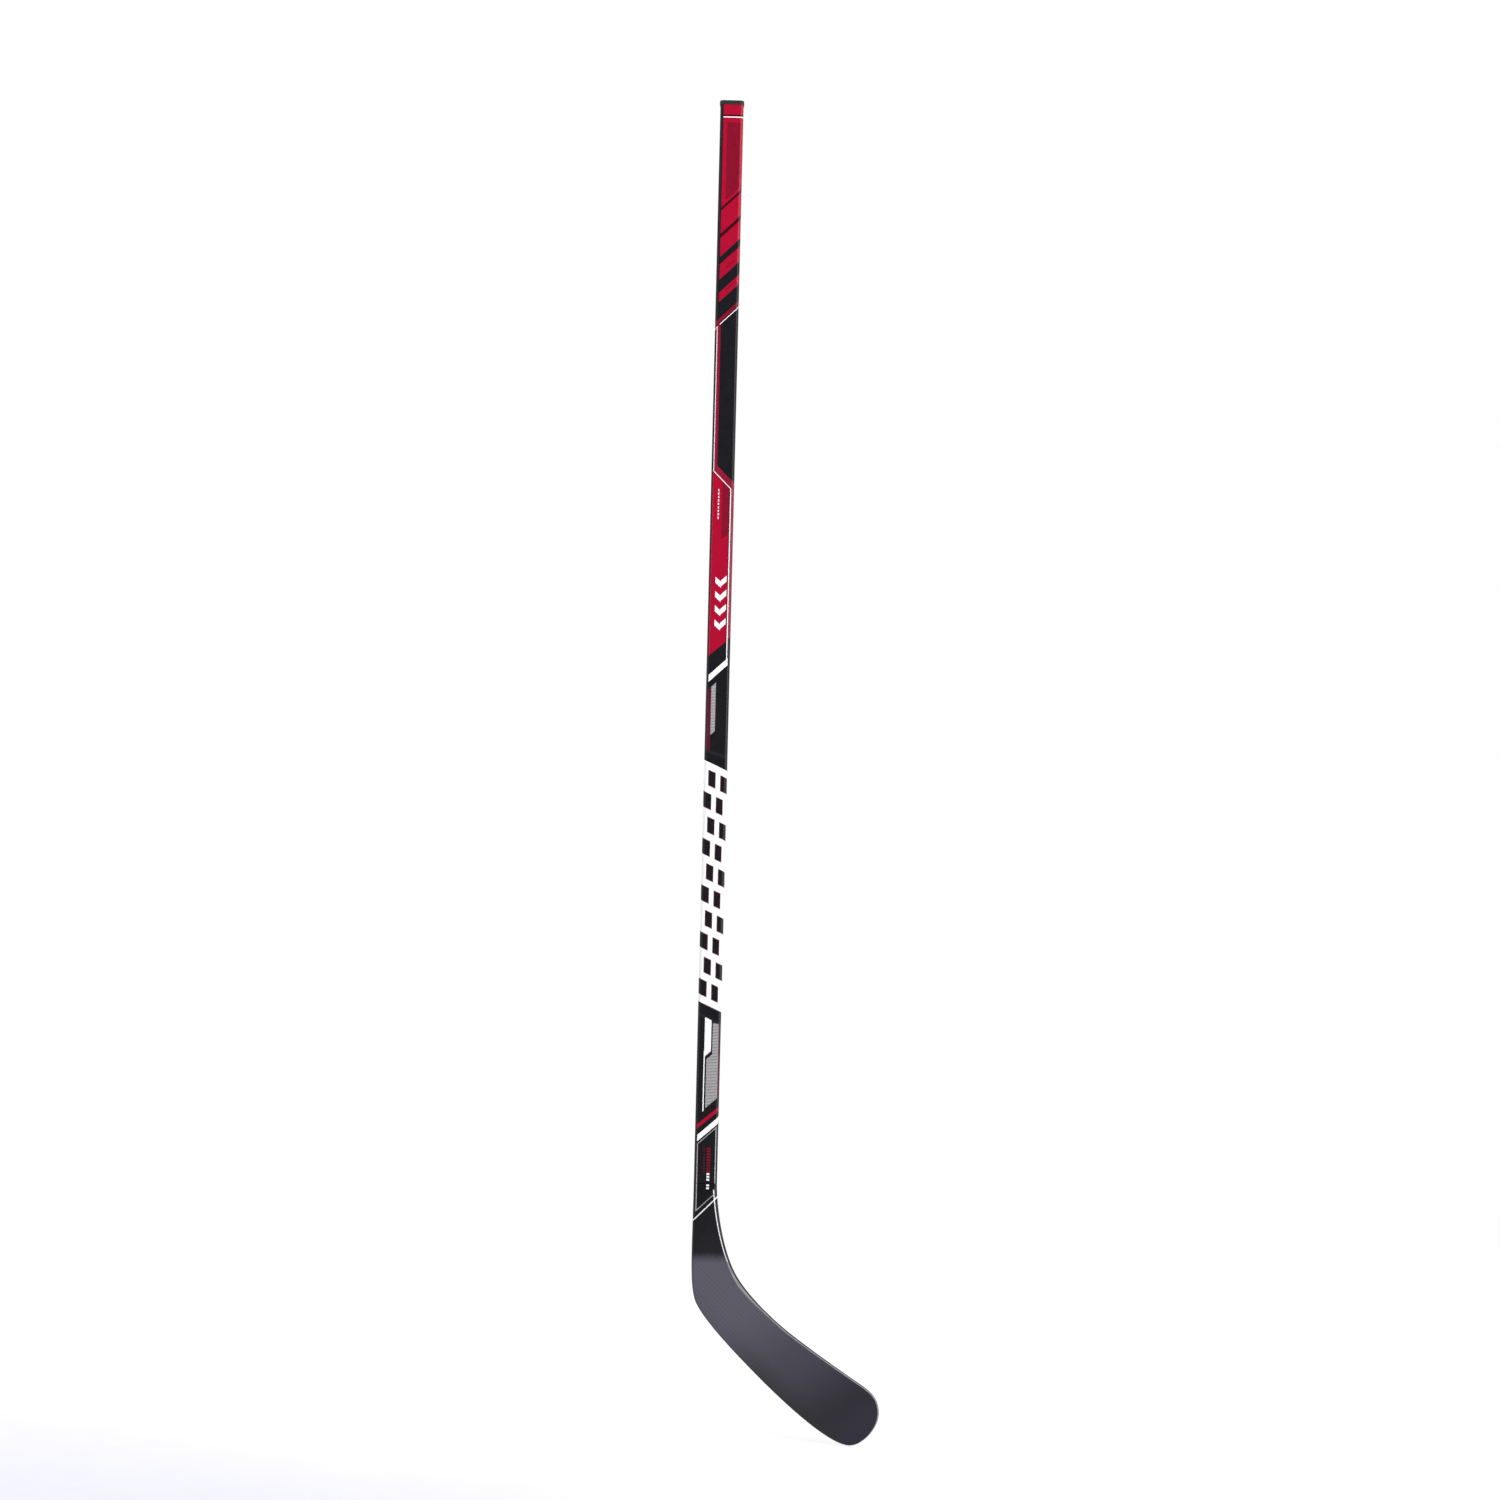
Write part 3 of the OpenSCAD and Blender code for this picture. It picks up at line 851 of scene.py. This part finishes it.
def joint_ring():
    """Filled seam between shaft and blade, carrying the two silver lines across."""
    loops = []
    outer = section(SHAFT_W, SHAFT_T, SHAFT_R)
    inner = section(SHAFT_W - 2 * WALL, SHAFT_T - 2 * WALL, SHAFT_R - WALL)
    low, high = JOINT_Z + SEAM, JOINT_Z + JOINT_H - SEAM
    for loop, z in ((inner, high), (outer, high), (outer, low), (inner, low)):
        loops.append([(x, y, z) for x, y in loop])
    bm = loft(loops + loops[:1], close_ends=False)
    bmesh.ops.remove_doubles(bm, verts=bm.verts, dist=1e-7)
    bmesh.ops.recalc_face_normals(bm, faces=bm.faces)
    for f in bm.faces:
        f.material_index = INK_ORDER.index("black")
    marks = [("silver", [(x * MM, z * MM) for x, z in strip("", left, right, low, high)[1]])
             for left, right in ((-11.6, -10.5), (11.4, 12.6))]
    paint(bm, marks, 0, 2, lambda f: abs(f.normal.z) < 0.5)
    mesh = to_mesh("joint_ring", bm)
    return add_object("joint_ring", mesh, [INKS[k] for k in INK_ORDER], "joint_filler")


# ---------------------------------------------------------------- assemble

BLADE_COAT_PAINTED_SHEEN = blade_coat_painted_sheen("blade_coat_painted_sheen")
INNER_LAMINATE = carbon("inner_laminate", (0.012, 0.012, 0.013))
CAD_MATERIALS = {
    "shaft_tube": carbon("shaft_laminate", (0.010, 0.010, 0.011), 2.4),
    "tenon_laminate": INNER_LAMINATE,
    "blade_rib": INNER_LAMINATE,
    "tenon_core": foam("tenon_foam", (0.62, 0.54, 0.33)),
    "tenon_adhesive": epoxy("tenon_glue", (0.45, 0.37, 0.14)),
    "heel_core": foam("heel_foam", (0.52, 0.47, 0.31), 0.6),
    "blade_core_lower": foam("lower_foam", (0.66, 0.60, 0.42)),
    "blade_core_upper": foam("upper_foam", (0.58, 0.52, 0.36), 1.1)}
for node, material in CAD_MATERIALS.items():
    data = nodes[node].data
    data.materials.clear()
    data.materials.append(material)

FILM_LOW = JOINT_Z + JOINT_H + 2 * SEAM
FILM_HIGH = SHAFT_TOP - SEAM
FILM_ROWS = 110
INNER_DEPTH = 0.9 * FILM
flat = flat_print(FILM_LOW, FILM_HIGH, FILM_ROWS)
wrapped_print("print_front", "decal_front", -1, flat, INNER_DEPTH)
wrapped_print("print_back", "decal_back", 1, flat, INNER_DEPTH)
flat.free()
blade_half("blade_face_front", "blade_skin_front", -1, blade_marks())
blade_half("blade_face_back", "blade_skin_back", 1, blade_marks())
butt_cap()
joint_ring()

# ---------------------------------------------------------------- stage, light and camera

# Metres and watts
FLOOR_X = 0.3            # centre of the round floor
FLOOR_R = 2.2
FLOOR_GAP = 0.001        # below the blade
FLOOR_TONE = 0.30        # share of the floor's colour that reflects light
FLOOR_GLOW = 0.72        # and that it gives off towards the camera
# tint of the painted vignette on the floor
PAINTED_VIGNETTE_LAVENDER = (0.80, 0.80, 0.90)
ROOM = 0.10              # brightness of the room between the boxes
BOXES = ((62, 26, 2.4), (-62, 26, 0.9), (128, 34, 0.8), (-128, 34, 0.8))  # direction, half width, power
LIGHTS = {
    "front_right": ((2.2, -1.9, 1.6), 66),
    "front_left": ((-2.1, -2.2, 1.0), 54),
    "back_right": ((2.2, 2.0, 1.3), 50),
    "back_left": ((-2.2, 2.0, 1.3), 50),
    "top": ((0.2, -0.4, 3.2), 18)}
LIGHT_W = 1.2
LIGHT_H = 2.0
LIGHT_AIM = (0, 0, 0.7)
TILT_DEG = 1.42          # the stick leans to the right in the view
LOOK_AT = Vector((0.043, 0, 0.702))
DISTANCE = 4.0
FRAME_M = 1.899          # width of the view at the shaft's front face
SENSOR = 36

def soft_light(name, location, power):
    data = bpy.data.lights.new(name, "AREA")
    data.shape = "RECTANGLE"
    data.size = LIGHT_W
    data.size_y = LIGHT_H
    data.energy = power
    obj = bpy.data.objects.new(name, data)
    obj.location = location
    obj.rotation_euler = (Vector(LIGHT_AIM) - obj.location).to_track_quat("-Z", "Y").to_euler()
    obj.visible_glossy = False
    bpy.context.scene.collection.objects.link(obj)


def make_floor():
    """Round white floor under the blade, with a painted lavender vignette at the near left, that fades into
    the backdrop.
    """
    bm = bmesh.new()
    bmesh.ops.create_circle(bm, cap_ends=True, radius=FLOOR_R, segments=96)
    mesh = bpy.data.meshes.new("floor")
    bm.to_mesh(mesh)
    bm.free()
    obj = bpy.data.objects.new("floor", mesh)
    obj.location = (FLOOR_X, 0, cad_low.z - FLOOR_GAP)
    bpy.context.scene.collection.objects.link(obj)
    n = new_material("floor_paint")
    far = n.add("ShaderNodeVectorMath", operation="LENGTH")
    n.feed(far.inputs[0], n.place)
    distance = far.outputs["Value"]
    x, y, _ = n.axes()
    # Painted lavender vignette, stronger towards the near left.
    near_left = n.math("ADD", n.math("MULTIPLY", x, -0.5), n.math("MULTIPLY", y, -1))
    tone = n.blend(n.span(near_left, 0, 1, 0.15, 1.0), (1, 1, 1), PAINTED_VIGNETTE_LAVENDER)
    tone = n.blend(n.span(n.noise(60, 3), 0, 0.02), tone, (0, 0, 0))
    n.feed(n.bsdf.inputs["Base Color"], n.blend(1 - FLOOR_TONE, tone, (0, 0, 0)))
    n.bsdf.inputs["Roughness"].default_value = 1.0
    n.bsdf.inputs["Specular IOR Level"].default_value = 0.0
    n.feed(n.bsdf.inputs["Emission Color"], tone)
    seen = n.add("ShaderNodeLightPath").outputs["Is Camera Ray"]
    n.feed(n.bsdf.inputs["Emission Strength"], n.math("MULTIPLY", seen, FLOOR_GLOW))
    n.feed(n.bsdf.inputs["Alpha"], n.span(distance, 1, 0, 0.3 * FLOOR_R, 0.98 * FLOOR_R))
    obj.data.materials.append(n.owner)


def make_world():
    """White for the camera. Everything else sees a dim room with upright soft boxes at the corners."""
    world = bpy.data.worlds.new("studio")
    bpy.context.scene.world = world
    n = Nodes(world, "Generated")
    seen = n.tree.nodes["Background"]
    seen.inputs["Color"].default_value = (1, 1, 1, 1)
    x, y, _ = n.axes()
    azimuth = n.math("ARCTAN2", x, n.math("MULTIPLY", y, -1))
    glow = ROOM
    for middle, half, power in BOXES:
        off = n.math("ABSOLUTE", n.math("SUBTRACT", azimuth, math.radians(middle)))
        glow = n.math("ADD", n.span(off, power, 0, 0, math.radians(half)), glow)
    light = n.add("ShaderNodeBackground")
    n.feed(light.inputs["Strength"], glow)
    choose = n.add("ShaderNodeMixShader")
    n.feed(choose.inputs["Fac"], n.add("ShaderNodeLightPath").outputs["Is Camera Ray"])
    n.tree.links.new(light.outputs[0], choose.inputs[1])
    n.tree.links.new(seen.outputs[0], choose.inputs[2])
    n.tree.links.new(choose.outputs[0], n.tree.nodes["World Output"].inputs["Surface"])


make_floor()
make_world()
for name, (location, power) in LIGHTS.items():
    soft_light(name, location, power)

camera_data = bpy.data.cameras.new("camera")
camera_data.sensor_width = SENSOR
camera_data.lens = SENSOR * (DISTANCE - SHAFT_T / 2 * MM) / FRAME_M
camera = bpy.data.objects.new("camera", camera_data)
bpy.context.scene.collection.objects.link(camera)
lean = math.radians(TILT_DEG)
right = Vector((math.cos(lean), 0, math.sin(lean)))
up = Vector((-math.sin(lean), 0, math.cos(lean)))
turn = Matrix((right, up, Vector((0, -1, 0)))).transposed()
camera.matrix_world = Matrix.Translation(LOOK_AT - Vector((0, DISTANCE, 0))) @ turn.to_4x4()
bpy.context.scene.camera = camera
bpy.context.scene.view_settings.view_transform = "Standard"
